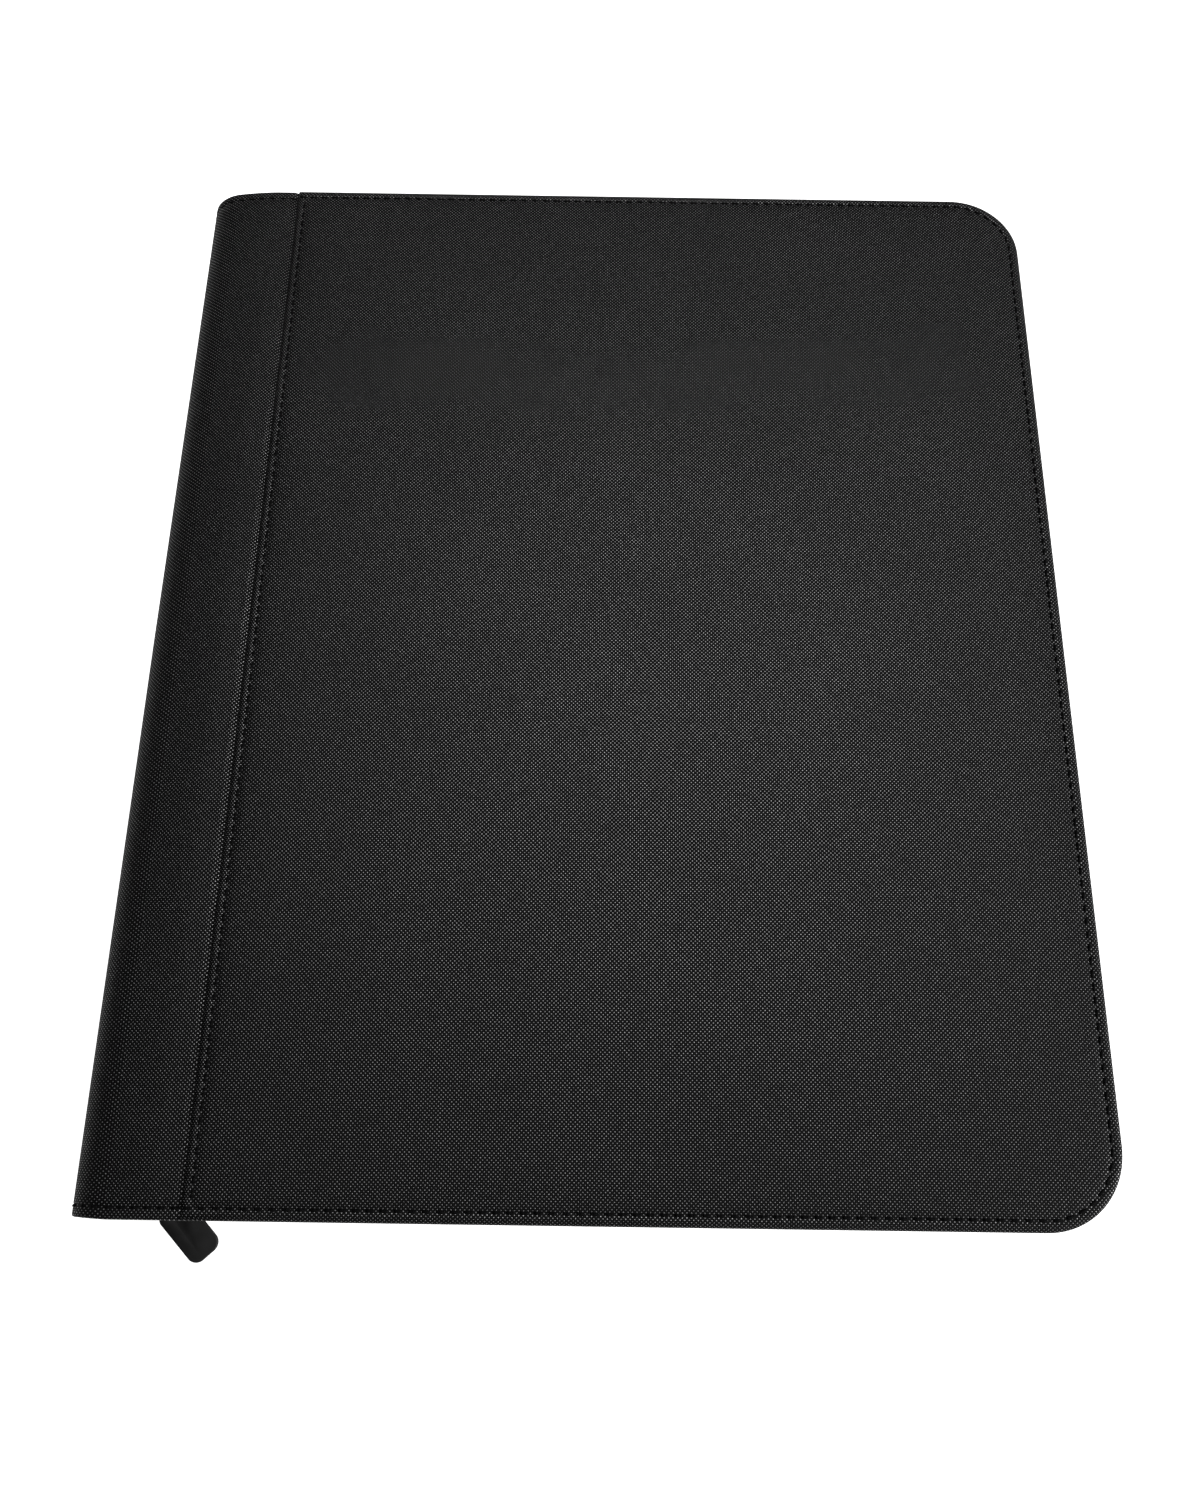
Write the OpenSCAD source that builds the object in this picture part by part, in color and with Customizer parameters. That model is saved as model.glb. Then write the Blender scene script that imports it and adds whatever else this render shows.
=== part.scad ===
// Zip-round binder for trading cards: two padded covers on a flexible spine, a zip chain between
// them, and side-loading leaves of card pockets welded to a strip inside the spine.
// Lengths are in millimetres. The closed binder lies on its rear cover: X runs from the spine to
// the opening edge, Y from the tail edge to the head edge, and Z up. The origin is the centre of
// the rear cover's outer face.

/* [Leaves and card pockets] */
// Width of one card pocket, weld to weld
pocket_w = 73; // [66:0.5:90]
// Height of one card pocket, weld to weld
pocket_h = 96; // [90:0.5:116]
// Pockets across a leaf
pocket_columns = 3; // [2:1:4]
// Pockets down a leaf
pocket_rows = 3; // [2:1:4]
// Free border of the leaf outside the first and last column
leaf_border_x = 3; // [2:0.5:6]
// Free border of the leaf above and below the pockets
leaf_border_y = 4; // [2:0.5:8]
// Flexible margin between the spine strip and the pockets
leaf_margin = 20; // [17:0.5:26]
// Room that each leaf takes in the stack
leaf_pitch = 1.4; // [1:0.1:1.8]
// Thickness of the leaf's middle sheet
core_t = 0.3; // [0.2:0.05:0.4]
// Thickness of the clear pocket film
film_t = 0.12; // [0.08:0.01:0.2]
// Width of the bare weld between two columns of pockets
column_weld = 1.5; // [1:0.1:2.5]

/* [Covers] */
// Thickness of the woven cover cloth
cloth_t = 0.8; // [0.6:0.1:1]
// Thickness of the foam under the cloth
foam_t = 1.6; // [1.6:0.1:2.4]
// Thickness of the lining sheet
lining_t = 0.5; // [0.3:0.1:0.8]
// Radius of the two cover corners at the opening edge
corner_r = 22; // [16:1:30]
// Width of the cloth turned round the edge and back inside
hem_w = 7; // [6:0.5:9]
// Gap between the leaves and the cover's opening edge
fore_gap = 27.2; // [22:0.2:40]
// Gap between the leaves and the cover's head or tail edge
end_gap = 20; // [17:0.5:30]
// Gap between the outermost leaf's place in the stack and the lining
leaf_clear = 0.6; // [0.4:0.1:2]

/* [Spine] */
// Radius of the cloth where the spine turns into a cover
spine_r = 8; // [6:0.5:9]
// Distance from the spine's outer face to the folded edge of the cover panel
seam_x = 28.5; // [24:0.5:36]
// Width of the cloth folded under at the seam
fold_w = 5.5; // [4.5:0.5:8]
// Width of spine cloth hidden under the cover panel beyond the fold
tongue_w = 2; // [1:0.5:6]
// Thickness of the strip that the leaves are welded to
strip_t = 1; // [0.8:0.1:1.6]
// Distance from the spine's outer face to the cover boards
board_x = 10; // [9.5:0.5:14]

/* [Stitching] */
// Distance from the cover's edge to the edge stitching
edge_stitch = 3; // [2.8:0.1:4]
// Distance from the seam's folded edge to its stitching
seam_stitch = 2.5; // [1.8:0.1:4]
// Width of a row of thread
thread_w = 0.8; // [0.6:0.1:1]
// Thickness of the thread as it lies in its groove
thread_t = 0.3; // [0.2:0.05:0.35]

/* [Zip] */
// Distance from the cover's edge to the middle of the zip chain
zip_inset = 9.5; // [9:0.5:12]
// Thickness of the zip tape
tape_t = 0.7; // [0.5:0.1:0.8]
// Height of one side of the coil
coil_w = 2.6; // [2.2:0.1:3]
// Thickness of the coil
coil_t = 2.2; // [1.8:0.1:2.6]
// Gap between the two coils while the zip is undone
coil_gap = 1.2; // [1:0.1:1.6]
// Straight, upright stretch of tape beside the coil
tape_straight = 5; // [4:0.5:6]
// Distance from the spine's outer face to the ends of the tapes
zip_start_x = 8; // [8:0.5:12]
// Distance from the spine's outer face to the free end of the front chain
front_chain_x = 23.5; // [23.5:0.5:30]

/* [Slider and pull] */
// Length of the slider along the chain
slider_l = 9; // [8:0.5:9]
// Thickness of each of the slider's two plates
plate_t = 1.2; // [1:0.1:1.4]
// Running clearance of the slider on the tape and the coils
run_clear = 0.35; // [0.3:0.05:0.45]
// Diameter of the link's wire
wire_d = 1.3; // [1.2:0.1:1.4]
// Direction in which the pull points, turned from the opening edge towards the reader
pull_angle = 47.5; // [35:0.5:60]
// Width of the pull tab
tab_w = 9.6; // [8:0.1:10]
// Thickness of the pull tab
tab_t = 1.6; // [1.4:0.1:1.8]
// Distance from the slider's swing axis to the end of the tab, seen from above
tab_reach = 20.4; // [19:0.2:26]
// Slope of the tab towards its end
tab_slope = 10; // [8:1:14]
// Height of the middle of the tab at its end
tab_end_z = 4.8; // [4.8:0.1:6]

/* [Hidden] */
LEAVES = 20;
function two_digits(n) = str(n < 10 ? "0" : "", n);
$fn = 96;

// Layers of a cover, from its outer face inwards
board_t = cloth_t + tape_t; // the hem and the tape's flange lie beside the board
board_z = cloth_t + foam_t; // outer face of the board
hem_z = board_z + cloth_t; // inner face of the turned hem
flange_z = hem_z + tape_t; // inner face of the tape's flange, and of the board
cover_stack = flange_z + lining_t;
lip_z = foam_t; // outer face of the spine cloth, below the padded panel
rim_r = foam_t / 2 + cloth_t; // radius of the turned edge
layer_gap = 0.3; // clearance between the hem and what lies inside it
board_inset = hem_w + layer_gap; // from the cover's edge to the board and lining
foam_x = seam_x + fold_w + tongue_w + 0.2; // the foam starts past the spine cloth's tongue

// Leaves
leaf_w = pocket_columns * pocket_w + 2 * leaf_border_x;
leaf_h = pocket_rows * pocket_h + 2 * leaf_border_y;
leaf_t = core_t + 2 * film_t;
strip_x = cloth_t + board_t + lining_t; // inner face of the spine lining
strip_face = strip_x + strip_t;
leaf_x = strip_face + leaf_margin; // where the pockets start

// Overall sizes
cover_w = leaf_x + leaf_w + fore_gap;
cover_h = leaf_h + 2 * end_gap;
thickness = 2 * (cover_stack + leaf_clear) + LEAVES * leaf_pitch;
edge_y = cover_h / 2;
corner_x = cover_w - corner_r; // centre of the cover corners
mid_z = thickness / 2;

// Spine
arc_z = lip_z + spine_r; // height of the centre of the lower spine corner
wall_h = thickness - 2 * arc_z;
bend_reach = sqrt(pow(spine_r - cloth_t, 2) - pow(spine_r - strip_x, 2));
bend_top = arc_z - bend_reach; // height of the bend's inner face under the leaf strip
strip_z = max(cover_stack + leaf_clear, bend_top + layer_gap);

// Zip
coil_z = mid_z - coil_gap / 2 - coil_w; // bottom of the rear coil, top of its tape
tape_bend_z = coil_z - tape_straight;
tape_foot = hem_w - 0.6; // where the tape leaves the hem
flange_start = 1.5; // from the cover's edge to the tape's sewn edge
chain_y = -edge_y + zip_inset;
chain_start = max(zip_start_x, spine_r); // the tapes start past the spine's bend
stop_l = 1.6; // length of a stop along the chain
coil_x = chain_start + stop_l;

// Slider
channel_half_y = coil_t / 2 + run_clear;
channel_half_z = coil_gap / 2 + coil_w + 0.3;
flange_w = 1.2; // rail that guides the tape, above and below the channel
slider_half_y = channel_half_y + plate_t;
slider_half_z = channel_half_z + flange_w;
slider_x = coil_x + 0.3 + slider_l / 2; // parked against the start stop
web_l = 3; // neck that joins the two plates
web_t = coil_gap - 0.5;
wire_clear = 0.3;
swing_y = chain_y - slider_half_y - wire_clear - wire_d / 2; // the pull's upright axis
bridge_t = 1; // thickness of the bail's bridge
bridge_w = 1.8;
bridge_y = swing_y - wire_d / 2 - wire_clear - bridge_t; // outer face of the bridge
bail_half = slider_l / 2 - 0.9;
foot_l = 1;

// Pull
arm_z = 2.2; // height of the link's arms above and below mid-thickness
bar_u = 4.2; // from the swing axis to the link's outer bar
ring_r = 2.2; // radius of the ring's centre line
hole_u = bar_u + ring_r; // the tab's hole, round the ring's outer side
tab_l = (tab_reach - hole_u) / cos(tab_slope); // hole to tab end
tab_hole_z = tab_end_z + (tab_reach - hole_u) * tan(tab_slope);
tab_hole_r = 1.8;
tab_root = tab_hole_r + 1.4; // hole centre to the tab's root end
tab_corner = 3;
tab_root_corner = 2.3;

// Height of leaf k's middle in the stack
function leaf_z(k) = cover_stack + leaf_clear + (k - 0.5) * leaf_pitch;

// ---------------------------------------------------------------- places and sweeps

// Lengths along X are drawn from the spine's outer face
module from_spine() { translate([-cover_w / 2, 0, 0]) children(); }

// The front cover is the rear cover mirrored about mid-thickness
module front_of() { translate([0, 0, thickness]) mirror([0, 0, 1]) children(); }

// Sweeps a flat profile along the cover's three open edges. In the profile, X is the distance
// out from the cover's edge (negative inside it) and Y is the height.
module edge_sweep(tail_x, head_x) {
    translate([corner_x, -edge_y, 0]) rotate([0, 0, -90]) rotate([90, 0, 0])
        linear_extrude(corner_x - tail_x) children();
    translate([corner_x, -edge_y + corner_r, 0]) rotate([0, 0, -90])
        rotate_extrude(angle = 90) translate([corner_r, 0]) children();
    translate([cover_w, edge_y - corner_r, 0]) rotate([90, 0, 0])
        linear_extrude(cover_h - 2 * corner_r) children();
    translate([corner_x, edge_y - corner_r, 0])
        rotate_extrude(angle = 90) translate([corner_r, 0]) children();
    translate([head_x, edge_y, 0]) rotate([0, 0, 90]) rotate([90, 0, 0])
        linear_extrude(corner_x - head_x) children();
}

// Outline of a cover layer that stays inset from the three open edges and starts at x_from
module cover_outline(inset, x_from) {
    translate([x_from, -edge_y + inset]) square([corner_x - x_from, cover_h - 2 * inset]);
    translate([corner_x - 1, -edge_y + corner_r])
        square([corner_r - inset + 1, cover_h - 2 * corner_r]);
    for (side = [-1, 1])
        translate([corner_x, side * (edge_y - corner_r)]) circle(corner_r - inset);
}

// A stretch of the lower spine corner. In the profile, X is the depth below the outer face and
// Y runs along the spine.
module spine_arc(from_angle) {
    translate([spine_r, 0, arc_z]) rotate([90, 0, 0]) rotate([0, 0, from_angle])
        rotate_extrude(angle = 45) translate([spine_r, 0]) mirror([1, 0]) children();
}

// Sweeps a spine profile round the cover's half of the corner and flat to the seam
module lip_sweep() {
    spine_arc(225) children();
    translate([seam_x, 0, lip_z]) rotate([0, -90, 0])
        linear_extrude(seam_x - spine_r) children();
}

// Sweeps a spine profile round the spine's half of both corners and up the wall
module wall_sweep() {
    spine_arc(180) children();
    front_of() spine_arc(180) children();
    translate([0, 0, arc_z]) linear_extrude(wall_h) children();
}

// ---------------------------------------------------------------- cloth and covers

// Cloth turned round an edge and back inside, seen in section
module turned_edge(height) {
    r = height / 2;
    translate([-r, r]) intersection() {
        difference() {
            circle(r);
            if (r - cloth_t > 0.01) circle(r - cloth_t);
        }
        translate([0, -r]) square([r, height]);
    }
    translate([-hem_w, height - cloth_t]) square([hem_w - r, cloth_t]);
}

// Groove in which the edge thread lies, seen in section from the outer face
module thread_groove() {
    translate([-edge_stitch - thread_w / 2, 0]) square([thread_w, thread_t + 0.05]);
}

module thread_section() {
    translate([-edge_stitch - thread_w / 2, 0.05]) square([thread_w, thread_t]);
}

// The same groove or thread at both ends of a spine profile
module at_spine_ends() {
    for (side = [0, 1]) mirror([0, side]) translate([0, edge_y]) rotate(90) mirror([0, 1])
        children();
}

// The spine cloth in section: a single sheet with its head and tail edges turned in
module spine_cloth_section() {
    difference() {
        union() {
            translate([0, -edge_y + cloth_t]) square([cloth_t, cover_h - 2 * cloth_t]);
            at_spine_ends() turned_edge(2 * cloth_t);
        }
        at_spine_ends() thread_groove();
    }
}

module cover_cloth() {
    panel_y = edge_y - rim_r;
    nose_r = foam_t / 2;
    groove_x = seam_x + seam_stitch;
    difference() {
        union() {
            linear_extrude(cloth_t) cover_outline(rim_r, seam_x + nose_r);
            // the edge folded under at the seam, with its round nose
            translate([seam_x + nose_r, -panel_y, 0])
                cube([fold_w - nose_r, 2 * panel_y, foam_t]);
            translate([seam_x + nose_r, -panel_y, nose_r]) rotate([-90, 0, 0])
                cylinder(r = nose_r, h = 2 * panel_y);
            edge_sweep(seam_x, seam_x) turned_edge(2 * rim_r);
        }
        edge_sweep(seam_x - 1, seam_x - 1) thread_groove();
        translate([groove_x - thread_w / 2, -edge_y + edge_stitch, 0])
            cube([thread_w, cover_h - 2 * edge_stitch, thread_t + 0.05]);
    }
}

module cover_foam() { translate([0, 0, cloth_t]) linear_extrude(foam_t) cover_outline(rim_r, foam_x); }

module cover_board() {
    translate([0, 0, board_z]) linear_extrude(board_t) cover_outline(board_inset, board_x);
}

module cover_lining() {
    translate([0, 0, flange_z]) linear_extrude(lining_t) cover_outline(board_inset, board_x - 1);
}

module edge_thread() {
    edge_sweep(seam_x, seam_x) thread_section();
    lip_sweep() at_spine_ends() thread_section();
}

module seam_thread() {
    half_l = edge_y - edge_stitch - thread_w / 2 - 0.1;
    translate([seam_x + seam_stitch - thread_w / 2, -half_l, 0.05])
        cube([thread_w, 2 * half_l, thread_t]);
}

// Spine cloth on the cover's side: it turns the corner and runs under the padded panel
module spine_lip() {
    tongue_y = edge_y - board_inset;
    lip_sweep() spine_cloth_section();
    translate([seam_x - 1, -tongue_y, lip_z])
        cube([fold_w + tongue_w + 1, 2 * tongue_y, cloth_t]);
}

module rear_cover_cloth() { color("#1c1c1d") from_spine() cover_cloth(); }
module rear_cover_foam() { color("#5a5a5c") from_spine() cover_foam(); }
module rear_cover_board() { color("#8a7c66") from_spine() cover_board(); }
module rear_cover_lining() { color("#151516") from_spine() cover_lining(); }
module rear_edge_thread() { color("#0c0c0c") from_spine() edge_thread(); }
module rear_seam_thread() { color("#0c0c0c") from_spine() seam_thread(); }
module rear_spine_lip() { color("#19191a") from_spine() spine_lip(); }

module front_cover_cloth() { color("#1c1c1d") from_spine() front_of() cover_cloth(); }
module front_cover_foam() { color("#5a5a5c") from_spine() front_of() cover_foam(); }
module front_cover_board() { color("#8a7c66") from_spine() front_of() cover_board(); }
module front_cover_lining() { color("#151516") from_spine() front_of() cover_lining(); }
module front_edge_thread() { color("#0c0c0c") from_spine() front_of() edge_thread(); }
module front_seam_thread() { color("#0c0c0c") from_spine() front_of() seam_thread(); }
module front_spine_lip() { color("#19191a") from_spine() front_of() spine_lip(); }

// ---------------------------------------------------------------- spine

module spine_cloth() { color("#19191a") from_spine() wall_sweep() spine_cloth_section(); }

module spine_edge_thread() {
    color("#0c0c0c") from_spine() wall_sweep() at_spine_ends() thread_section();
}

module spine_board() {
    color("#8a7c66") from_spine() translate([cloth_t, -edge_y + board_inset, arc_z])
        cube([board_t, cover_h - 2 * board_inset, wall_h]);
}

module spine_lining() {
    color("#151516") from_spine() translate([cloth_t + board_t, -edge_y + board_inset, arc_z])
        cube([lining_t, cover_h - 2 * board_inset, wall_h]);
}

// The strip that all the leaves are welded to
module leaf_strip() {
    color("#101010") from_spine() translate([strip_x, -leaf_h / 2, strip_z])
        cube([strip_t, leaf_h, thickness - 2 * strip_z]);
}

// ---------------------------------------------------------------- leaves

// Flexible margins of the leaves first to last, from the strip to the pockets
module leaf_hinges(first, last) {
    for (k = [first:last]) translate([strip_face, -leaf_h / 2, leaf_z(k) - leaf_t / 2])
        cube([leaf_margin, leaf_h, leaf_t]);
}

module lower_leaf_hinges() { color("#141415") from_spine() leaf_hinges(1, LEAVES / 2); }
module upper_leaf_hinges() { color("#141415") from_spine() leaf_hinges(LEAVES / 2 + 1, LEAVES); }

// One leaf: a middle sheet with a column of film pockets over each third, on both faces
module leaf(k) {
    film_h = leaf_h - leaf_border_y;
    from_spine() translate([leaf_x, 0, leaf_z(k)]) {
        color("#141415") translate([0, -leaf_h / 2, -core_t / 2]) cube([leaf_w, leaf_h, core_t]);
        color("#9fb0bc") for (column = [0:pocket_columns - 1], face = [0, 1]) mirror([0, 0, face])
            translate([leaf_border_x + column * pocket_w + column_weld / 2, -film_h / 2, core_t / 2])
                cube([pocket_w - column_weld, film_h, film_t]);
    }
}

// ---------------------------------------------------------------- zip

// The tape in section: sewn flange, wall that leans in to the chain, upright edge
module tape_section() {
    inner = zip_inset + tape_t / 2;
    outer = zip_inset - tape_t / 2;
    polygon([
        [-flange_start, hem_z], [-tape_foot, hem_z], [-inner, tape_bend_z], [-inner, coil_z],
        [-outer, coil_z], [-outer, tape_bend_z], [-tape_foot + 0.5, flange_z],
        [-flange_start, flange_z]]);
}

// One side of the coil in section, with its corners taken off
module coil_section() {
    half = coil_t / 2;
    c = 0.5;
    translate([-zip_inset, coil_z]) polygon([
        [-half + c, 0], [half - c, 0], [half, c], [half, coil_w - c],
        [half - c, coil_w], [-half + c, coil_w], [-half, coil_w - c], [-half, c]]);
}

module zip_tape() { edge_sweep(chain_start, chain_start) tape_section(); }

module rear_zip_tape() { color("#111112") from_spine() zip_tape(); }
module rear_zip_coil() { color("#0d0d0e") from_spine() edge_sweep(coil_x, coil_x) coil_section(); }

// The front tape gives way to the slider at the start of the zip
module front_zip_tape() {
    notch_z = mid_z + slider_half_z + 0.7;
    color("#111112") from_spine() difference() {
        front_of() zip_tape();
        translate([0, chain_y - 5, 0]) cube([front_chain_x, 10, notch_z]);
    }
}

module front_zip_coil() {
    color("#0d0d0e") from_spine() front_of() edge_sweep(front_chain_x, coil_x) coil_section();
}

// A block crimped over the end of one chain, at the tail or head edge
module chain_stop(y, bottom, height) {
    half = coil_t / 2 + 0.2;
    translate([chain_start, y - half, bottom]) cube([stop_l, 2 * half, height]);
}

// The start stop holds both chains together
module zip_start_stop() {
    color("#2b2b2d") from_spine() chain_stop(chain_y, coil_z, 2 * coil_w + coil_gap);
}
module rear_end_stop() { color("#2b2b2d") from_spine() chain_stop(-chain_y, coil_z, coil_w); }
module front_end_stop() {
    color("#2b2b2d") from_spine() front_of() chain_stop(-chain_y, coil_z, coil_w);
}

// The first stretch of the front chain stays with the start stop, inside the parked slider
module front_zip_start() {
    top_z = mid_z + coil_gap / 2 + coil_w;
    end_x = slider_x + slider_l / 2;
    color("#0d0d0e") from_spine() {
        translate([end_x, -edge_y, mid_z + coil_gap / 2 - coil_z]) rotate([0, 0, -90])
            rotate([90, 0, 0]) linear_extrude(end_x - coil_x) coil_section();
        translate([chain_start, chain_y - tape_t / 2, top_z])
            cube([end_x - chain_start, tape_t, slider_half_z + 0.3 - (top_z - mid_z)]);
    }
}

// ---------------------------------------------------------------- slider and pull

// A block with its four upright-plane corners rounded, centred on X and Z
module slider_block(length, depth, height, r) {
    for (x = [-1, 1], z = [-1, 1]) translate([x * (length / 2 - r), -depth / 2, z * (height / 2 - r)])
        rotate([-90, 0, 0]) cylinder(r = r, h = depth);
    cube([length - 2 * r, depth, height], center = true);
    cube([length, depth, height - 2 * r], center = true);
}

// Two plates round both coils, joined only by the neck that runs between the chains
module slider_body() {
    color("#3a3b3d") from_spine() translate([slider_x, chain_y, mid_z]) {
        difference() {
            slider_block(slider_l, 2 * slider_half_y, 2 * slider_half_z, 1.6);
            cube([slider_l + 2, 2 * channel_half_y, 2 * channel_half_z], center = true);
            cube([slider_l + 2, tape_t + 2 * run_clear, 2 * slider_half_z + 2], center = true);
        }
        translate([slider_l / 2 - web_l / 2 - 0.5, 0, 0])
            cube([web_l, 2 * channel_half_y, web_t], center = true);
    }
}

// The bridge that holds the link, standing on the slider's outer plate
module slider_bail() {
    foot_y = chain_y - slider_half_y;
    color("#3a3b3d") from_spine() translate([slider_x, 0, mid_z]) difference() {
        translate([-bail_half, bridge_y, -bridge_w / 2])
            cube([2 * bail_half, foot_y - bridge_y, bridge_w]);
        translate([-bail_half + foot_l, bridge_y + bridge_t, -bridge_w])
            cube([2 * (bail_half - foot_l), foot_y - bridge_y, 2 * bridge_w]);
    }
}

// Places the pull: its X runs out along the tab, from the upright swing axis
module at_swing_axis() {
    from_spine() translate([slider_x, swing_y, 0]) rotate([0, 0, -pull_angle]) children();
}

// A wire stirrup through the bail, its outer bar drawn down into a ring for the tab
module pull_link() {
    r = wire_d / 2;
    color("#3a3b3d") at_swing_axis() {
        translate([0, 0, mid_z - arm_z]) cylinder(r = r, h = 2 * arm_z);
        for (z = [mid_z - arm_z, mid_z + arm_z]) translate([0, 0, z]) {
            rotate([0, 90, 0]) cylinder(r = r, h = bar_u);
            sphere(r);
        }
        translate([bar_u, 0, mid_z + arm_z]) sphere(r);
        translate([bar_u, 0, tab_hole_z + ring_r])
            cylinder(r = r, h = mid_z + arm_z - tab_hole_z - ring_r);
        translate([bar_u, 0, tab_hole_z]) rotate([90, 0, 0])
            rotate_extrude() translate([ring_r, 0]) circle(0.6, $fn = 48);
    }
}

// Outline of the tab from its hole, rounder at the root than at the end
module tab_outline() {
    for (side = [-1, 1]) {
        translate([tab_l - tab_corner, side * (tab_w / 2 - tab_corner)]) circle(tab_corner);
        translate([-tab_root + tab_root_corner, side * (tab_w / 2 - tab_root_corner)])
            circle(tab_root_corner);
    }
    translate([-tab_root + tab_root_corner, -tab_w / 2])
        square([tab_l + tab_root - tab_root_corner - tab_corner, tab_w]);
    translate([-tab_root, -tab_w / 2 + tab_root_corner])
        square([tab_root_corner + 0.1, tab_w - 2 * tab_root_corner]);
    translate([tab_l - tab_corner - 0.1, -tab_w / 2 + tab_corner])
        square([tab_corner + 0.1, tab_w - 2 * tab_corner]);
}

module pull_tab() {
    color("#202021") at_swing_axis() translate([hole_u, 0, tab_hole_z]) rotate([0, tab_slope, 0])
        translate([0, 0, -tab_t / 2]) linear_extrude(tab_t) difference() {
            tab_outline();
            circle(tab_hole_r);
        }
}

// ---------------------------------------------------------------- the whole binder

rear_cover_cloth();
rear_cover_foam();
rear_cover_board();
rear_cover_lining();
rear_edge_thread();
rear_seam_thread();
rear_spine_lip();
rear_zip_tape();
rear_zip_coil();
zip_start_stop();
rear_end_stop();
front_zip_start();
spine_cloth();
spine_board();
spine_lining();
spine_edge_thread();
leaf_strip();
lower_leaf_hinges();
upper_leaf_hinges();
front_cover_cloth();
front_cover_foam();
front_cover_board();
front_cover_lining();
front_edge_thread();
front_seam_thread();
front_spine_lip();
front_zip_tape();
front_zip_coil();
front_end_stop();
slider_body();
slider_bail();
pull_link();
pull_tab();
for (k = [1:LEAVES]) leaf(k);
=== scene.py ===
"""A zip-round binder for trading cards, closed and lying on its rear cover: woven black cloth over
padded boards, stitched round the edge and along the seam, with a zip chain between the covers."""
import math

import bmesh
import bpy
from mathutils import Matrix, Vector, noise


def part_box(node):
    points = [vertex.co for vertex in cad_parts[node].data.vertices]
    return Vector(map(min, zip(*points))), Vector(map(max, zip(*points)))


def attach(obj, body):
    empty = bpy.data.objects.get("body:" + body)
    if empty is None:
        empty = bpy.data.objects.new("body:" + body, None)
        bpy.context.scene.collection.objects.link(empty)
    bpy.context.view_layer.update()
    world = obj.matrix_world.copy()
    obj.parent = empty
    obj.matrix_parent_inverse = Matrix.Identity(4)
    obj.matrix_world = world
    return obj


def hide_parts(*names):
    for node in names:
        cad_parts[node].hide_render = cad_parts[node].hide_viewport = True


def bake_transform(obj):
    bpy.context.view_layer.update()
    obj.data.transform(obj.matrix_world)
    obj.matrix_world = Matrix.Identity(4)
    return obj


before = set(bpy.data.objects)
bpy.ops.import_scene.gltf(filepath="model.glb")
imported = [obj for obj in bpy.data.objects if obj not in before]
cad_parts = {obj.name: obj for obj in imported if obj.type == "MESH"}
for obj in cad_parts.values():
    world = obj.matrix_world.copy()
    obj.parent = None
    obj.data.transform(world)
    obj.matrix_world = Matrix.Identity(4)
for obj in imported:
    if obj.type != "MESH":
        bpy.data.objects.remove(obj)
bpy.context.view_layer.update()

# ------------------------------------------------------------------ table, lamps and camera
# The binder lies over a white table in a white room. A broad soft lamp hangs beyond its head edge,
# and a stronger one stands by its opening edge. The weave shines most in the middle of the cover.

MM = 0.001
WHITE = (1.0, 1.0, 1.0, 1.0)
table_drop = 4.5 * MM  # room for the bulging wall of the spine when the binder lies open


class Wire:
    """A socket in a material. Sums on wires add Math nodes, and node() adds any other kind."""

    def __init__(self, tree, socket=None):
        self.tree = tree
        self.socket = socket

    def node(self, kind, settings, sockets, out=0):
        """Adds a node. Its settings are made first, and then its sockets are set or linked."""
        made = self.tree.nodes.new("ShaderNode" + kind)
        for name, value in settings.items():
            setattr(made, name, value)
        for name, value in sockets.items():
            if isinstance(value, Wire):
                self.tree.links.new(value.socket, made.inputs[name])
            else:
                made.inputs[name].default_value = value
        return Wire(self.tree, made.outputs[out] if made.outputs else None)

    def math(self, operation, *others):
        return self.node("Math", {"operation": operation}, dict(enumerate((self, *others))))

    def __add__(self, other):
        return self.math("ADD", other)

    __radd__ = __add__

    def __mul__(self, other):
        return self.math("MULTIPLY", other)

    __rmul__ = __mul__

    def __sub__(self, other):
        return self.math("SUBTRACT", other)

    def __rsub__(self, other):
        return self.node("Math", {"operation": "SUBTRACT"}, {0: other, 1: self})

    def __truediv__(self, other):
        return self.math("DIVIDE", other)

    def __pow__(self, other):
        return self.math("POWER", other)

    def sin(self):
        return self.math("SINE")

    def above(self, low):
        """The part of the value that lies over low."""
        return (self - low).math("MAXIMUM", 0.0)

    def between(self, low, high):
        """0 under low, 1 over high, and a smooth step from one to the other."""
        sockets = {"Value": self, "From Min": low, "From Max": high}
        return self.node("MapRange", {"interpolation_type": "SMOOTHSTEP"}, sockets)

    def tint(self, low, high):
        """A colour from low at 0 to high at 1."""
        return self.node("Mix", {"data_type": "RGBA"}, {0: self, 6: low, 7: high}, out=2)

    def split(self):
        """The X, Y and Z of a vector."""
        return [self.node("SeparateXYZ", {}, {0: self}, out=k) for k in range(3)]

    def noise(self, scale, detail=2.0):
        """Cloudy noise from 0 to 1 at this place, with this many lumps to the metre."""
        return self.node("TexNoise", {}, {"Vector": self, "Scale": scale, "Detail": detail})

    def bump(self, depth, strength=1.0):
        """The normal of a surface that this value raises by up to depth metres."""
        return self.node("Bump", {}, {"Height": self, "Distance": depth, "Strength": strength})


def material(name, look):
    """A material with one Principled shader, whose sockets look(wire) gives by name."""
    made = bpy.data.materials.new(name)
    made.use_nodes = True
    made.node_tree.nodes.clear()
    wire = Wire(made.node_tree)
    shader = wire.node("BsdfPrincipled", {}, look(wire))
    wire.node("OutputMaterial", {}, {"Surface": shader})
    return made


def object_place(wire):
    """The place on the piece, in metres in the binder's frame."""
    return wire.node("TexCoord", {}, {}, out=3)


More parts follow.
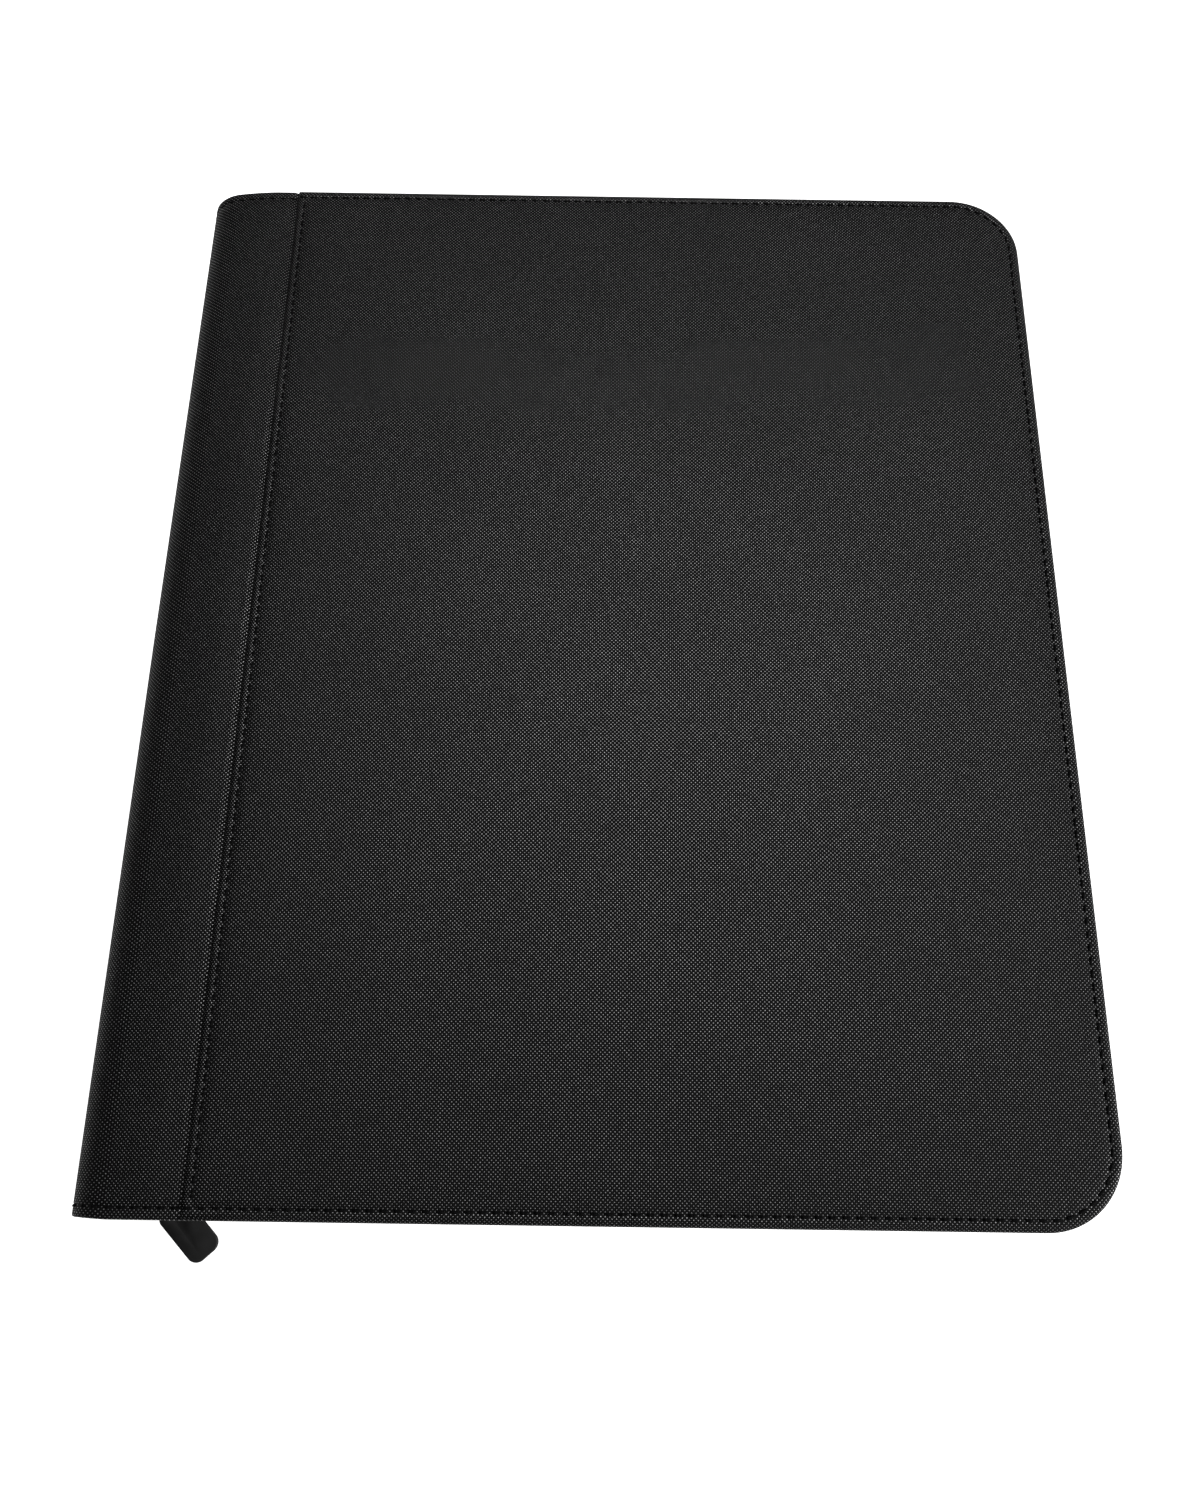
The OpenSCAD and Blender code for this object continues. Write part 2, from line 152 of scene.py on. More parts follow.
def build_table():
    """A table top that the camera sees as white."""
    bpy.ops.object.select_all(action="DESELECT")
    bpy.ops.mesh.primitive_plane_add(size=6, location=(0, 0, -table_drop))
    table = bpy.context.object
    table.name = "table_top"
    made = bpy.data.materials.new("white table")
    made.use_nodes = True
    made.node_tree.nodes.clear()
    wire = Wire(made.node_tree)
    camera, glossy, through = (wire.node("LightPath", {}, {}, out=k) for k in (0, 3, 6))
    seen = camera.math("MAXIMUM", glossy).math("MAXIMUM", through)
    matt = wire.node("BsdfDiffuse", {}, {"Color": (0.8, 0.8, 0.8, 1.0)})
    glow = wire.node("Emission", {}, {"Color": WHITE, "Strength": 1.0})
    bright = wire.node("AddShader", {}, {0: matt, 1: glow})
    mixed = wire.node("MixShader", {}, {0: seen, 1: matt, 2: bright})
    wire.node("OutputMaterial", {}, {"Surface": mixed})
    table.data.materials.append(made)


def hang_lamp(name, place, size, power):
    """A square soft lamp, turned to the middle of the binder."""
    bpy.ops.object.light_add(type="AREA", location=place)
    lamp = bpy.context.object
    lamp.name = name
    lamp.data.size = size
    lamp.data.energy = power
    lamp.rotation_mode = "QUATERNION"
    lamp.rotation_quaternion = (-Vector(place)).to_track_quat("-Z", "Y")


build_table()
hang_lamp("head_lamp", (0.1, 0.42, 1.25), 0.75, 10.5)
hang_lamp("fore_lamp", (1.25, -0.45, 0.55), 0.6, 26.0)

world = bpy.data.worlds.new("white room")
world.use_nodes = True
sky = world.node_tree.nodes["Background"]
sky.inputs["Color"].default_value = WHITE
camera_only = Wire(world.node_tree).node("LightPath", {}, {})
world.node_tree.links.new(camera_only.socket, sky.inputs["Strength"])
bpy.context.scene.world = world
bpy.context.scene.view_settings.view_transform = "Standard"

# The camera looks down on the cover from over its tail edge, tilted a little towards the head
eye = Vector((-2.39, -165.9, 396.5)) * MM
gaze = [math.radians(a) for a in (19.807, -0.308, 0.789)]
bpy.ops.object.camera_add(location=eye, rotation=gaze)
camera = bpy.context.object
camera.data.lens = 31.2
camera.data.sensor_width = 36.0
camera.data.clip_start = 0.01
bpy.context.scene.camera = camera

# ------------------------------------------------------------------ cover panels
# Black polyester cloth drawn over foam and board. It is turned over the board's edge and back
# inside as a hem, and at the spine it is folded under and stitched down on the spine cloth.
# Both covers are the same piece, so the rear one is the front one mirrored about the middle.

panel_low, panel_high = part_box("front_cover_cloth")
seam_x = panel_low.x
fore_x = panel_high.x
head_y = panel_high.y
top_z = panel_high.z
mid_z = top_z / 2
corner_r = 22 * MM
roll_r = 1.6 * MM  # half the height of the turned edge
roll_z = top_z - roll_r
edge_stitch = 3 * MM  # from the edge to the stitching
seam_stitch = 2.5 * MM  # from the fold at the seam to its stitching
groove_half = 0.6 * MM
groove_depth = 0.2 * MM
band_drop = 0.25 * MM  # the turned edge lies this much lower than the padded middle
hem_w = 7 * MM
tongue_w = 5.5 * MM  # how far the spine cloth reaches in between the panel and its hem
pad_step = 8 * MM  # from one cut across the pad to the next
yarn = 0.59 * MM  # from one yarn to the next, both ways


def pick(kind, test):
    """In edit mode, selects only the vertices, edges or faces whose middle passes the test."""
    bpy.ops.mesh.select_mode(type=kind)
    bpy.ops.mesh.select_all(action="DESELECT")
    mesh = bpy.context.edit_object.data
    shape = bmesh.from_edit_mesh(mesh)
    for item in {"VERT": shape.verts, "EDGE": shape.edges, "FACE": shape.faces}[kind]:
        corners = [item] if kind == "VERT" else item.verts
        if test(sum((v.co for v in corners), Vector()) / len(corners)):
            item.select_set(True)
    shape.select_flush_mode()
    bmesh.update_edit_mesh(mesh)


def cut_sheet(name, x_from, inset, z):
    """A flat sheet in the covers' outline, set in from the three open edges, in edit mode."""
    width = fore_x - inset - x_from
    bpy.ops.object.select_all(action="DESELECT")
    bpy.ops.mesh.primitive_plane_add(size=1, location=(x_from + width / 2, 0, z))
    piece = bpy.context.object
    piece.name = name
    piece.scale = (width, 2 * (head_y - inset), 1)
    bpy.ops.object.transform_apply(location=True, rotation=True, scale=True)
    bpy.ops.object.mode_set(mode="EDIT")
    pick("VERT", lambda p: p.x > x_from + width / 2)
    bpy.ops.mesh.bevel(affect="VERTICES", offset=corner_r - inset, segments=24)
    bpy.ops.mesh.select_all(action="SELECT")
    return piece


def shape_rings(profile):
    """Insets the selected face again and again, along (distance in, height) points."""
    for (d0, z0), (d1, z1) in zip(profile, profile[1:]):
        bpy.ops.mesh.inset(thickness=d1 - d0, depth=z1 - z0)


def score(axis, first, last, step):
    """Cuts the whole mesh across an axis at even steps."""
    normal = Vector((axis == "X", axis == "Y", 0))
    count = int((last - first) / step)
    for k in range(count + 1):
        bpy.ops.mesh.select_all(action="SELECT")
        bpy.ops.mesh.bisect(plane_co=normal * (first + k * step), plane_no=normal)


def to_edge(x, y):
    """How far a place lies in from the panel's edge, and the way out to that edge."""
    past_x = x - fore_x + corner_r
    past_y = abs(y) - head_y + corner_r
    side = math.copysign(1.0, y)
    if past_x > 0 and past_y > 0:
        reach = math.hypot(past_x, past_y)
        return corner_r - reach, Vector((past_x / reach, side * past_y / reach))
    ways = [(fore_x - x, (1, 0)), (head_y - abs(y), (0, side)), (x - seam_x, (-1, 0))]
    distance, way = min(ways)
    return distance, Vector(way)


def cut_place(x, y, z):
    """Where a place on the turned cloth was on the flat cut, so that the weave follows the roll."""
    distance, way = to_edge(x, y)
    height = z - roll_z
    if distance >= roll_r and height > 0:
        return x, y
    along = (math.pi / 2 - math.atan2(height, max(roll_r - distance, 0.0))) * roll_r
    if distance > roll_r:
        along = roll_r * math.pi + distance - roll_r
    turned = distance - roll_r + along
    return x + way.x * turned, y + way.y * turned


def lay_weave(piece, place):
    """Gives a piece its map of the flat cut, in metres, from a function of each corner's place."""
    cut = piece.data.uv_layers.new(name="cut")
    for loop in piece.data.loops:
        cut.data[loop.index].uv = place(*piece.data.vertices[loop.vertex_index].co)


def quarter(steps, rise):
    """A quarter turn from the edge to the face, as (distance in, height over the middle)."""
    turns = [math.pi / 2 * k / steps for k in range(steps + 1)]
    return [(roll_r * (1 - math.cos(a)), rise * math.sin(a)) for a in turns]


def build_panel():
    """The front panel: its face with roll, stitched groove and pad, and its turned-in hem."""
    band_z = top_z - band_drop
    face = cut_sheet("front_panel", seam_x, 0, roll_z)
    stitched = [
        (edge_stitch - groove_half, band_z),
        (edge_stitch - groove_half * 0.4, band_z - groove_depth),
        (edge_stitch + groove_half * 0.4, band_z - groove_depth),
        (edge_stitch + groove_half, band_z - 0.04 * MM),
        (edge_stitch + 4 * groove_half, top_z - 0.16 * MM),
        (edge_stitch + 10 * groove_half, top_z - 0.06 * MM),
        (edge_stitch + 20 * groove_half, top_z),
    ]
    roll = [(d, roll_z + h) for d, h in quarter(6, band_z - roll_z)]
    shape_rings(roll + stitched)
    score("X", seam_x + 18 * MM, fore_x - 16 * MM, pad_step)
    score("Y", -head_y + 18 * MM, head_y - 18 * MM, pad_step)
    bpy.ops.object.mode_set(mode="OBJECT")

    hem = cut_sheet("front_panel_hem", seam_x, 0, roll_z)
    under = [(d, roll_z - h) for d, h in quarter(5, roll_r)]
    inner = [(hem_w, roll_z - roll_r), (hem_w + 0.2 * MM, roll_z - 0.8 * MM)]
    shape_rings(under + inner)
    bpy.ops.mesh.select_all(action="SELECT")
    bpy.ops.mesh.flip_normals()
    bpy.ops.object.mode_set(mode="OBJECT")
    # Where the spine cloth's tongue lies under the panel, the hem gives way to it
    for v in hem.data.vertices:
        past_tongue = (v.co.x - seam_x - tongue_w) / (2 * MM)
        past_end = (abs(v.co.y) - head_y + hem_w) / (0.8 * MM)
        share = min(1.0, max(0.0, past_tongue, past_end))
        v.co.z = roll_z - (roll_z - v.co.z) * share

    face.select_set(True)
    bpy.context.view_layer.objects.active = face
    bpy.ops.object.join()
    bpy.ops.object.mode_set(mode="EDIT")
    bpy.ops.mesh.select_all(action="SELECT")
    bpy.ops.mesh.remove_doubles(threshold=0.02 * MM)
    bpy.ops.mesh.normals_make_consistent(inside=False)
    bpy.ops.object.mode_set(mode="OBJECT")
    lay_weave(face, cut_place)

    # The fold at the seam is narrower than the turned edge, and the pad is never quite flat
    for v in face.data.vertices:
        distance, way = to_edge(v.co.x, v.co.y)
        if way.x < 0:
            fade_in = distance / edge_stitch
            fade_out = (edge_stitch * 5 - distance) / (edge_stitch * 4)
            v.co.x -= (edge_stitch - seam_stitch) * max(0.0, min(1.0, fade_in, fade_out))
        if v.co.z > roll_z and distance > 3 * edge_stitch:
            v.co.z -= 0.14 * MM * abs(noise.noise(v.co * 18.0))
    return face


def mirror_of(piece, name):
    """The same piece for the other cover, mirrored about mid-thickness."""
    twin = piece.copy()
    twin.data = piece.data.copy()
    twin.name = name
    twin.data.name = name
    bpy.context.collection.objects.link(twin)
    flip = Matrix.Translation((0, 0, top_z)) @ Matrix.Diagonal((1, 1, -1, 1))
    twin.data.transform(flip)
    twin.data.flip_normals()
    return twin


def woven_cloth(wire):
    """Plain weave: glossy rounded crowns of filament yarn over a near-black, matt ground."""
    cut = wire.node("UVMap", {"uv_map": "cut"}, {})
    wander = (cut.noise(140.0) - 0.5) * (0.35 * yarn)
    x, y, _ = cut.split()
    weave = ((x + wander) * (math.pi / yarn)).sin() * ((y + wander) * (math.pi / yarn)).sin()
    crown = weave.above(0.0) ** 4.5
    weft = (0.0 - weave).above(0.0)
    fibre = cut.noise(2600.0, 1.0).between(0.3, 0.75)
    cloud = cut.noise(22.0, 3.0)
    # Painted highlight: the yarn crowns' sheen is painted into the base colour as light grey.
    crown_gloss_and_painted_sheen = crown * (0.4 + fibre * 0.8) * (0.8 + cloud * 0.4)
    shade = crown_gloss_and_painted_sheen + weft * 0.015
    return {
        "Base Color": shade.tint((0.0008, 0.0008, 0.0009, 1), (0.33, 0.33, 0.336, 1)),
        "Roughness": 0.75 - crown * 0.2,
        "Specular IOR Level": 0.08,
        "Coat Weight": crown_gloss_and_painted_sheen,
        "Coat IOR": 2.3,
        "Coat Roughness": 0.37,
        "Normal": (crown + weft * 0.5).bump(0.1 * MM, 0.6),
    }


cloth = material("woven polyester", woven_cloth)
front_panel = build_panel()
rear_panel = mirror_of(front_panel, "rear_panel")
for panel, body in ((front_panel, "front_cover"), (rear_panel, "rear_cover")):
    panel.data.shade_smooth()
    panel.data.materials.append(cloth)
    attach(panel, body)
    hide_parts(body + "_cloth")

# ------------------------------------------------------------------ spine cloth
# A single sheet of the same cloth, lower than the padded covers. It turns both corners of the
# spine, and its head and tail ends are turned in and stitched like the covers' edges.

cloth_t = 0.8 * MM
spine_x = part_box("spine_cloth")[0].x
spine_r = 8 * MM
hub_x = spine_x + spine_r  # middle of the spine corner
hub_z = roll_z - spine_r
arc_steps = 12
cover_steps = 20
wall_steps = 3
tuck = 0.6 * MM  # the spine cloth starts this far under the panel


def spine_sections():
    """Places across the spine cloth as (distance from its middle, outer height, inner height)."""
    rim_y = head_y - cloth_t  # where the turned end starts to round over
    line_y = head_y - edge_stitch
    flat = [(0.0, 0.0, 1.0), (head_y - hem_w, 0.0, 1.0), (head_y - hem_w + 0.8 * MM, 0.0, 2.0)]
    groove = [
        (line_y - groove_half, 0.0, 2.0),
        (line_y - groove_half * 0.4, 0.25, 2.0),
        (line_y + groove_half * 0.4, 0.25, 2.0),
        (line_y + groove_half, 0.0, 2.0),
    ]
    turns = [math.pi / 2 * k / 4 for k in range(5)]
    rim = [(rim_y + cloth_t * math.sin(a), 1 - math.cos(a), 1 + math.cos(a)) for a in turns]
    return [
        (y, roll_z - top * cloth_t, roll_z - low * cloth_t)
        for y, top, low in flat + groove + rim
    ]


def turn_the_corner():
    """Sweeps the selected end faces along the cover, round the spine corner and down the wall."""
    step = (hub_x - seam_x - tuck) / cover_steps
    for _ in range(cover_steps):
        bpy.ops.mesh.extrude_region_move(TRANSFORM_OT_translate={"value": (step, 0, 0)})
    bpy.ops.mesh.spin(steps=arc_steps, angle=math.pi / 2, center=(hub_x, 0, hub_z), axis=(0, 1, 0))
    step = (mid_z - hub_z) / wall_steps
    for _ in range(wall_steps):
        bpy.ops.mesh.extrude_region_move(TRANSFORM_OT_translate={"value": (0, 0, step)})


def corner_place(x, y, z):
    """Where a place on the spine was on the flat cut: along the cover, the arc and the wall."""
    arc = spine_r * math.pi / 2
    if z < hub_z:
        return hub_x - arc - (hub_z - z), y
    if x > hub_x:
        return x, y
    return hub_x - spine_r * math.atan2(hub_x - x, z - hub_z), y


# The soft spine in section, in millimetres from the seam: a ledge, a flat stretch and a slope
ledge_w = 1.2
ledge_h = 0.6
flat_w = 7.0
slope_w = 13.5
slope_h = 1.3
corner_fall = 0.164  # how much lower it lies for each millimetre past the slope
end_draw = 0.003  # the part of its length that each end is drawn in


def sagged(x, y, z, fullness=1.0):
    """Where a place on the drawn corner lies on the soft one, which stands up beside the panel,
    slopes down to the corner and bulges on the wall. The lining inside has a fullness of 0, so it
    keeps clear of the bulge."""
    way = (seam_x - corner_place(x, y, z)[0]) / MM
    if way <= 0:
        return x, y, z
    rise = min(1.0, way / ledge_w)
    fall = min(1.0, max(0.0, (way - flat_w) / slope_w))
    lift = ledge_h * rise * rise * (3 - 2 * rise) - slope_h * fall ** 1.6
    past = max(0.0, way - (flat_w + slope_w))
    share = past * MM / (spine_r * math.pi / 2 + hub_z - mid_z)
    lift = (lift - corner_fall * past) * (1 - share)
    out = fullness * bulge(y) * math.sin(math.pi / 2 * share)
    return x - out, y * (1 - end_draw * min(1.0, 2.5 * share)), z + lift * MM


def bulge(y):
    """How far the middle of the spine's wall stands out, least at the head end."""
    along = y / head_y
    return (4.1 - 0.6 * along - 0.4 * along * along) * MM


def build_spine_half():
    """The front half of the spine cloth, from under the front panel to the middle of the wall."""
    sections = spine_sections()
    bpy.ops.object.select_all(action="DESELECT")
    bpy.ops.mesh.primitive_plane_add(
        size=1, location=(seam_x + tuck, 0, roll_z), rotation=(0, math.pi / 2, 0))
    half = bpy.context.object
    half.name = "front_spine_cloth"
    half.scale = (2 * cloth_t, 2 * head_y, 1)
    bpy.ops.object.transform_apply(location=True, rotation=True, scale=True)
    bpy.ops.object.mode_set(mode="EDIT")
    for y, _, _ in sections:
        for side in {y, -y}:
            bpy.ops.mesh.select_all(action="SELECT")
            bpy.ops.mesh.bisect(plane_co=(0, side, 0), plane_no=(0, 1, 0))
    bpy.ops.object.mode_set(mode="OBJECT")
    for v in half.data.vertices:
        _, top, low = min(sections, key=lambda s: abs(s[0] - abs(v.co.y)))
        v.co.z = top if v.co.z > roll_z else low
    bpy.ops.object.mode_set(mode="EDIT")
    bpy.ops.mesh.select_all(action="SELECT")
    bpy.ops.mesh.remove_doubles(threshold=0.001 * MM)
    turn_the_corner()
    bpy.ops.mesh.select_all(action="SELECT")
    bpy.ops.mesh.remove_doubles(threshold=0.001 * MM)
    bpy.ops.mesh.normals_make_consistent(inside=False)
    bpy.ops.object.mode_set(mode="OBJECT")
    lay_weave(half, corner_place)
    for v in half.data.vertices:
        v.co = sagged(*v.co)
    return half


def bend_with_cover(piece, cover):
    """Bakes a piece's transform into its mesh; the cover's spine corner is worked out but not used.
    """
    outer_z = 0.0 if cover == "rear_cover" else top_z
    flat = Vector((hub_x, 0, outer_z + math.copysign(roll_r, mid_z - outer_z)))
    upright = Vector((spine_x, 0, flat.z + math.copysign(spine_r, mid_z - outer_z)))
    if cover == "rear_cover":
        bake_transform(piece)
    else:
        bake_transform(piece)


spine_run = seam_x - hub_x + spine_r * math.pi / 2 + hub_z - mid_z
front_spine = build_spine_half()
rear_spine = mirror_of(front_spine, "rear_spine_cloth")
for half, side in ((front_spine, "front"), (rear_spine, "rear")):
    half.data.shade_smooth()
    half.data.materials.append(cloth)
    board = side + "_cover_board"
    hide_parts("spine_cloth", side + "_spine_lip")
    bend_with_cover(half, side + "_cover")

# ------------------------------------------------------------------ stitching
# Lockstitch in thick black thread. It runs round each cover 3 mm in from the edge, on across the
# ends of the spine, and down the seam. Each stitch lies a little askew and sinks into the cloth.

stitch_pitch = 3.65 * MM
stitch_l = 2.45 * MM
thread_r = 0.5 * MM
stitch_tilt = math.radians(9)
stitch_z = top_z - band_drop - thread_r * 0.5


def edge_walk(inset, x_from, pitch, z):
    """Places at an even pitch round the covers' open edge, from the tail end to the head end.
    At each place X runs along the edge and Y points inwards."""
    bend_r = corner_r - inset
    corner_x = fore_x - corner_r
    corner_y = head_y - corner_r
    straight = corner_x - x_from
    bend = bend_r * math.pi / 2
    upright = 2 * corner_y
    length = 2 * straight + 2 * bend + upright
    count = round(length / pitch)
    for k in range(count):
        way = (k + 0.5) * length / count
        if way < straight:
            x, y, turn = x_from + way, -corner_y - bend_r, 0.0
        elif way < straight + bend:
            turn = (way - straight) / bend_r
            x, y = corner_x + bend_r * math.sin(turn), -corner_y - bend_r * math.cos(turn)
        elif way < straight + bend + upright:
            x, y, turn = corner_x + bend_r, way - straight - bend - corner_y, math.pi / 2
        elif way < length - straight:
            turn = (way - straight - upright) / bend_r
            x, y = corner_x + bend_r * math.sin(turn), corner_y - bend_r * math.cos(turn)
        else:
            x, y, turn = corner_x - way + length - straight, corner_y + bend_r, math.pi
        yield Matrix.Translation((x, y, z)) @ Matrix.Rotation(turn, 4, "Z")


def seam_walk(pitch):
    """Places down the seam, from the head to the tail."""
    length = 2 * (head_y - edge_stitch - pitch / 2)
    count = round(length / pitch)
    for k in range(count):
        y = length / 2 - (k + 0.5) * length / count
        x = seam_x + seam_stitch
        yield Matrix.Translation((x, y, stitch_z)) @ Matrix.Rotation(-math.pi / 2, 4, "Z")


def spine_walk(pitch):
    """Places across both ends of the spine's front half, from the seam to the middle."""
    arc = spine_r * math.pi / 2
    count = round(spine_run / pitch)
    sink = thread_r * 0.7
    for k in range(count):
        way = (k + 0.5) * spine_run / count
        lean = min(1.0, max(0.0, (way - seam_x + hub_x) / arc)) * math.pi / 2
        past = max(0.0, way - seam_x + hub_x - arc)
        x = seam_x - way if lean == 0 else hub_x - (spine_r - sink) * math.sin(lean)
        z = hub_z + (spine_r - sink) * math.cos(lean) - past
        for y in (-head_y + edge_stitch, head_y - edge_stitch):
            turned = Matrix.Rotation(-lean, 4, "Y") @ Matrix.Rotation(math.pi, 4, "Z")
            yield Matrix.Translation(sagged(x, y, z)) @ turned


def repeat(name, pattern, places):
    """One piece with a copy of the pattern's mesh at every place."""
    whole = bmesh.new()
    for place in places:
        copy = pattern.data.copy()
        copy.transform(place)
        whole.from_mesh(copy)
        bpy.data.meshes.remove(copy)
    mesh = bpy.data.meshes.new(name)
    whole.to_mesh(mesh)
    whole.free()
    piece = bpy.data.objects.new(name, mesh)
    bpy.context.collection.objects.link(piece)
    mesh.shade_smooth()
    return piece


def build_stitch():
    """One stitch: a plump thread, thinner where it dives through the needle holes."""
    bpy.ops.object.select_all(action="DESELECT")
    bpy.ops.mesh.primitive_cylinder_add(
        vertices=8, radius=thread_r, depth=stitch_l * 0.62, rotation=(0, math.pi / 2, 0))
    stitch = bpy.context.object
    stitch.name = "stitch"
    bpy.ops.object.transform_apply(location=True, rotation=True, scale=True)
    bpy.ops.object.mode_set(mode="EDIT")
    for side in (-1, 1):
        pick("FACE", lambda p: p.x * side > stitch_l * 0.3)
        for step, shrink, drop in ((0.11, 0.8, -0.06 * MM), (0.08, 0.45, -0.16 * MM)):
            slide = (side * stitch_l * step, 0, drop)
            bpy.ops.mesh.extrude_region_move(TRANSFORM_OT_translate={"value": slide})
            bpy.ops.transform.resize(value=(1, shrink, shrink))
    bpy.ops.mesh.select_all(action="SELECT")
    bpy.ops.transform.rotate(value=stitch_tilt, orient_axis="Z", center_override=(0, 0, 0))
    bpy.ops.object.mode_set(mode="OBJECT")
    return stitch


def black_thread(wire):
    """Bonded thread: two plies that wind round each other, with a dull shine."""
    x, y, z = object_place(wire).split()
    winding = 2 * math.pi / (0.5 * MM)
    plies = ((x + y + z) * winding).sin() * 0.5 + 0.5
    return {
        "Base Color": plies.tint((0.0006, 0.0006, 0.0007, 1), (0.003, 0.003, 0.0032, 1)),
        "Roughness": 0.85 - plies * 0.15,
        "Specular IOR Level": 0.06,
        "Normal": plies.bump(0.05 * MM, 0.5),
    }


thread = material("black thread", black_thread)
stitch = build_stitch()
edge_places = edge_walk(edge_stitch, seam_x, stitch_pitch, stitch_z)
edge_rows = repeat("front_edge_stitches", stitch, edge_places)
seam_row = repeat("front_seam_stitches", stitch, seam_walk(stitch_pitch))
spine_rows = repeat("front_spine_stitches", stitch, spine_walk(stitch_pitch))
bpy.data.objects.remove(stitch)
for row, node in ((edge_rows, "edge_thread"), (seam_row, "seam_thread"), (spine_rows, "spine")):
    twin = mirror_of(row, row.name.replace("front", "rear"))
    for piece, side in ((row, "front"), (twin, "rear")):
        piece.data.materials.append(thread)
        if node == "spine":
            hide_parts("spine_edge_thread")
            bend_with_cover(piece, side + "_cover")
        else:
            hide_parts(side + "_" + node)
            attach(piece, side + "_cover")

# ------------------------------------------------------------------ gutter linings
# Thin black lining inside each bend of the spine. It follows the cloth from the cover's board to
# the spine's, and keeps clear of the bulge on the wall.

gutter_t = 0.3 * MM
glue_t = 0.05 * MM  # between the cloth and what lies on its back
gutter_lead = 0.6 * MM  # the straight stretch before the bend


def build_gutter():
    """The front gutter lining: a strip that follows the inside of the spine corner."""
    radius = spine_r - cloth_t - glue_t
    span_y = head_y - hem_w - 0.5 * MM
    start = (hub_x + gutter_lead, 0, hub_z + radius - gutter_t / 2)
    bpy.ops.object.select_all(action="DESELECT")
    bpy.ops.mesh.primitive_plane_add(size=1, location=start, rotation=(0, math.pi / 2, 0))
    strip = bpy.context.object
    strip.name = "front_gutter_lining"
    strip.scale = (gutter_t, 2 * span_y, 1)
    bpy.ops.object.transform_apply(location=True, rotation=True, scale=True)
    bpy.ops.object.mode_set(mode="EDIT")
    bpy.ops.mesh.select_all(action="SELECT")
    bpy.ops.mesh.extrude_region_move(TRANSFORM_OT_translate={"value": (-gutter_lead, 0, 0)})
    bpy.ops.mesh.spin(steps=arc_steps, angle=math.pi / 2, center=(hub_x, 0, hub_z), axis=(0, 1, 0))
    bpy.ops.mesh.select_all(action="SELECT")
    bpy.ops.mesh.remove_doubles(threshold=0.001 * MM)
    bpy.ops.mesh.normals_make_consistent(inside=False)
    bpy.ops.object.mode_set(mode="OBJECT")
    lay_weave(strip, corner_place)
    for v in strip.data.vertices:
        v.co = sagged(*v.co, fullness=0.0)
    return strip


def black_lining(wire):
    """Smooth coated lining with a fine leather grain and a few shinier, rubbed places."""
    place = object_place(wire)
    sockets = {"Vector": place, "Scale": 1400.0}
    pebble = place.node("TexVoronoi", {"feature": "DISTANCE_TO_EDGE"}, sockets).between(0.0, 0.35)
    rubbed = place.noise(35.0, 4.0).between(0.4, 0.7)
    shade = pebble * 0.6 + rubbed * 0.4
    return {
        "Base Color": shade.tint((0.006, 0.006, 0.0065, 1), (0.021, 0.021, 0.022, 1)),
        "Roughness": 0.62 - rubbed * 0.14,
        "Specular IOR Level": 0.35,
        "Normal": pebble.bump(0.06 * MM, 0.6),
    }


lining = material("coated lining", black_lining)
front_gutter = build_gutter()
rear_gutter = mirror_of(front_gutter, "rear_gutter_lining")
for strip, side in ((front_gutter, "front"), (rear_gutter, "rear")):
    strip.data.shade_smooth()
    strip.data.materials.append(lining)
    side + "_spine_cloth"
    bend_with_cover(strip, side + "_cover")

# ------------------------------------------------------------------ zip tapes
# Two woven tapes, each sewn to a cover under its hem. Each leans in to the chain and then stands
# upright beside it. They are ribbed across and have a thicker cord along the edge at the coil.

tape_foot = hem_w - 0.6 * MM  # from the cover's edge to where the tape leaves the hem
chain_inset = 9.5 * MM
tape_t = 0.7 * MM
coil_top = 22.2 * MM
coil_w = 2.6 * MM
tape_low_z = coil_top + 5.0 * MM  # here the tape turns upright
tape_start_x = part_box("rear_zip_tape")[0].x
tape_end_z = top_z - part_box("rear_zip_tape")[0].z
hair = 0.001 * MM  # an upright stretch still needs a trace of inset
wall_step = 10 * MM  # from one cut along a wall to the next


def edge_run(x, y, inset):
    """How far along the covers' edge a place is, measured from the tail end of the tapes."""
    bend = (corner_r - inset) * math.pi / 2
    corner_x = fore_x - corner_r
    corner_y = head_y - corner_r
    if y < -corner_y and x < corner_x:
        return x - tape_start_x
    start = corner_x - tape_start_x
    if y < -corner_y:
        return start + math.atan2(x - corner_x, -corner_y - y) / (math.pi / 2) * bend
    if y <= corner_y:
        return start + bend + y + corner_y
    start += bend + 2 * corner_y
    if x > corner_x:
        return start + math.atan2(y - corner_y, x - corner_x) / (math.pi / 2) * bend
    return start + bend + corner_x - x


def edge_wall(name, profile, thickness, start_x):
    """A wall that follows the covers' three open edges along (distance in, height) points."""
    (first_in, first_z), *_ = profile
    wall = cut_sheet(name, start_x - 2 * wall_step, first_in, first_z)
    shape_rings(profile)
    bpy.ops.mesh.delete(type="FACE")
    bpy.ops.mesh.select_all(action="SELECT")
    bpy.ops.mesh.bisect(plane_co=(start_x, 0, 0), plane_no=(1, 0, 0), clear_inner=True)
    score("X", start_x + wall_step, fore_x - corner_r - wall_step / 2, wall_step)
    score("Y", wall_step / 2 - head_y + corner_r, head_y - corner_r - wall_step / 2, wall_step)
    bpy.ops.mesh.select_all(action="SELECT")
    bpy.ops.mesh.normals_make_consistent(inside=False)
    bpy.ops.object.mode_set(mode="OBJECT")
    solid = wall.modifiers.new("thickness", "SOLIDIFY")
    solid.thickness = thickness
    solid.offset = 0.0
    bpy.ops.object.modifier_apply(modifier=solid.name)
    bpy.ops.object.shade_smooth_by_angle(angle=math.radians(50))
    return wall


